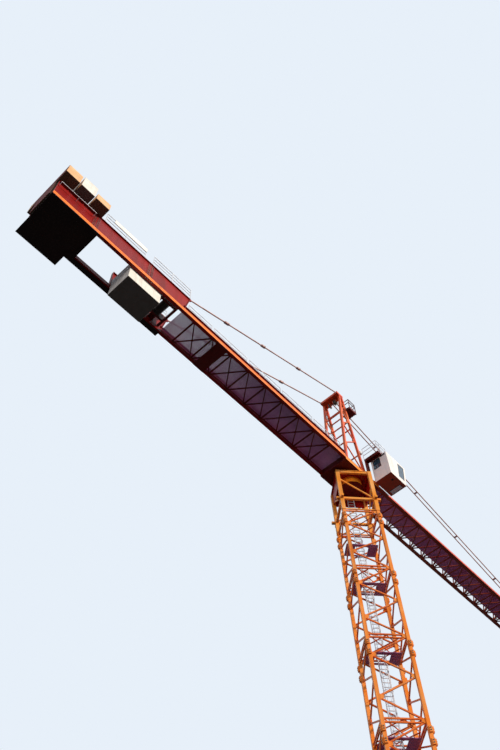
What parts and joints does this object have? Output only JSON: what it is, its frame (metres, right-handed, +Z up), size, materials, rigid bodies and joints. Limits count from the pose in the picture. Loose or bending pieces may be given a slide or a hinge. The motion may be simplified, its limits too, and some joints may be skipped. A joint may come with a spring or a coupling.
{
  "type": "half-scale tower crane",
  "caption": "Half-scale tower crane: lattice mast on a cross base, slewing platform, braced head, lattice jib, plate-girder counter-jib with ballast, and side cab.",
  "frame": {"origin": "underside of the base cross, on the mast's axis, at ground level", "axes": "+X along the jib at rest, +Z up the mast, +Y to the left of the jib"},
  "size_m": [39.241, 2.6444, 28.089],
  "materials": {
    "mast_orange": "semi-gloss weathered paint",
    "jib_orange": "semi-gloss weathered paint",
    "girder_red": "semi-gloss weathered paint",
    "dark_red": "satin weathered paint",
    "rail_grey": "galvanised",
    "grating": "galvanised open grating",
    "bare_steel": "greased steel",
    "white_paint": "gloss paint",
    "tan_concrete": "painted rough concrete",
    "pale_concrete": "rough concrete",
    "rope_steel": "steel rope on a drum",
    "tie_steel": "weathered paint",
    "cab_glass": "tinted glass",
    "hook_yellow": "semi-gloss paint"
  },
  "bodies": {
    "tower": {"base_cross": "mast_orange", "mast_leg_front_left": "mast_orange", "mast_leg_front_right": "mast_orange", "mast_leg_back_left": "mast_orange", "mast_leg_back_right": "mast_orange", "mast_lattice_front": "mast_orange", "mast_lattice_left": "mast_orange", "mast_lattice_back": "mast_orange", "mast_lattice_right": "mast_orange", "mast_ladder": "rail_grey", "mast_platforms": "grating", "tower_top": "mast_orange", "slewing_ring_base": "bare_steel"},
    "top": {"slewing_ring_top": "bare_steel", "slewing_platform": "dark_red", "slew_drive": "dark_red", "head_frame_right": "jib_orange", "head_frame_left": "jib_orange", "head_cross_frame": "jib_orange", "head_platform": "dark_red", "counter_girder_right": "girder_red", "counter_girder_left": "girder_red", "counter_bracing": "dark_red", "counter_cross_plate": "dark_red", "counter_walkway": "grating", "counter_rail_right": "rail_grey", "counter_rail_left": "rail_grey", "rail_board": "white_paint", "ballast_block_outer": "tan_concrete", "ballast_block_centre": "pale_concrete", "ballast_block_inner": "tan_concrete", "ballast_floor": "dark_red", "hanging_ballast": "pale_concrete", "winch_frame": "dark_red", "winch_drum": "rope_steel", "counter_tie_right": "tie_steel", "counter_tie_left": "tie_steel", "cab_shell": "white_paint", "cab_windows": "cab_glass", "cab_walkway": "dark_red", "jib_lower_frame": "jib_orange", "jib_side_right": "jib_orange", "jib_side_left": "jib_orange", "jib_top_chord": "jib_orange", "jib_walkway": "grating", "jib_tie": "tie_steel", "trolley": "hook_yellow", "hook_block": "hook_yellow"}
  },
  "joints": [
    {"name": "slewing", "type": "hinge", "parent": "tower", "child": "top", "pos_m": [0, 0, 22.894], "axis": [0, 0, 1], "continuous": true}
  ]
}
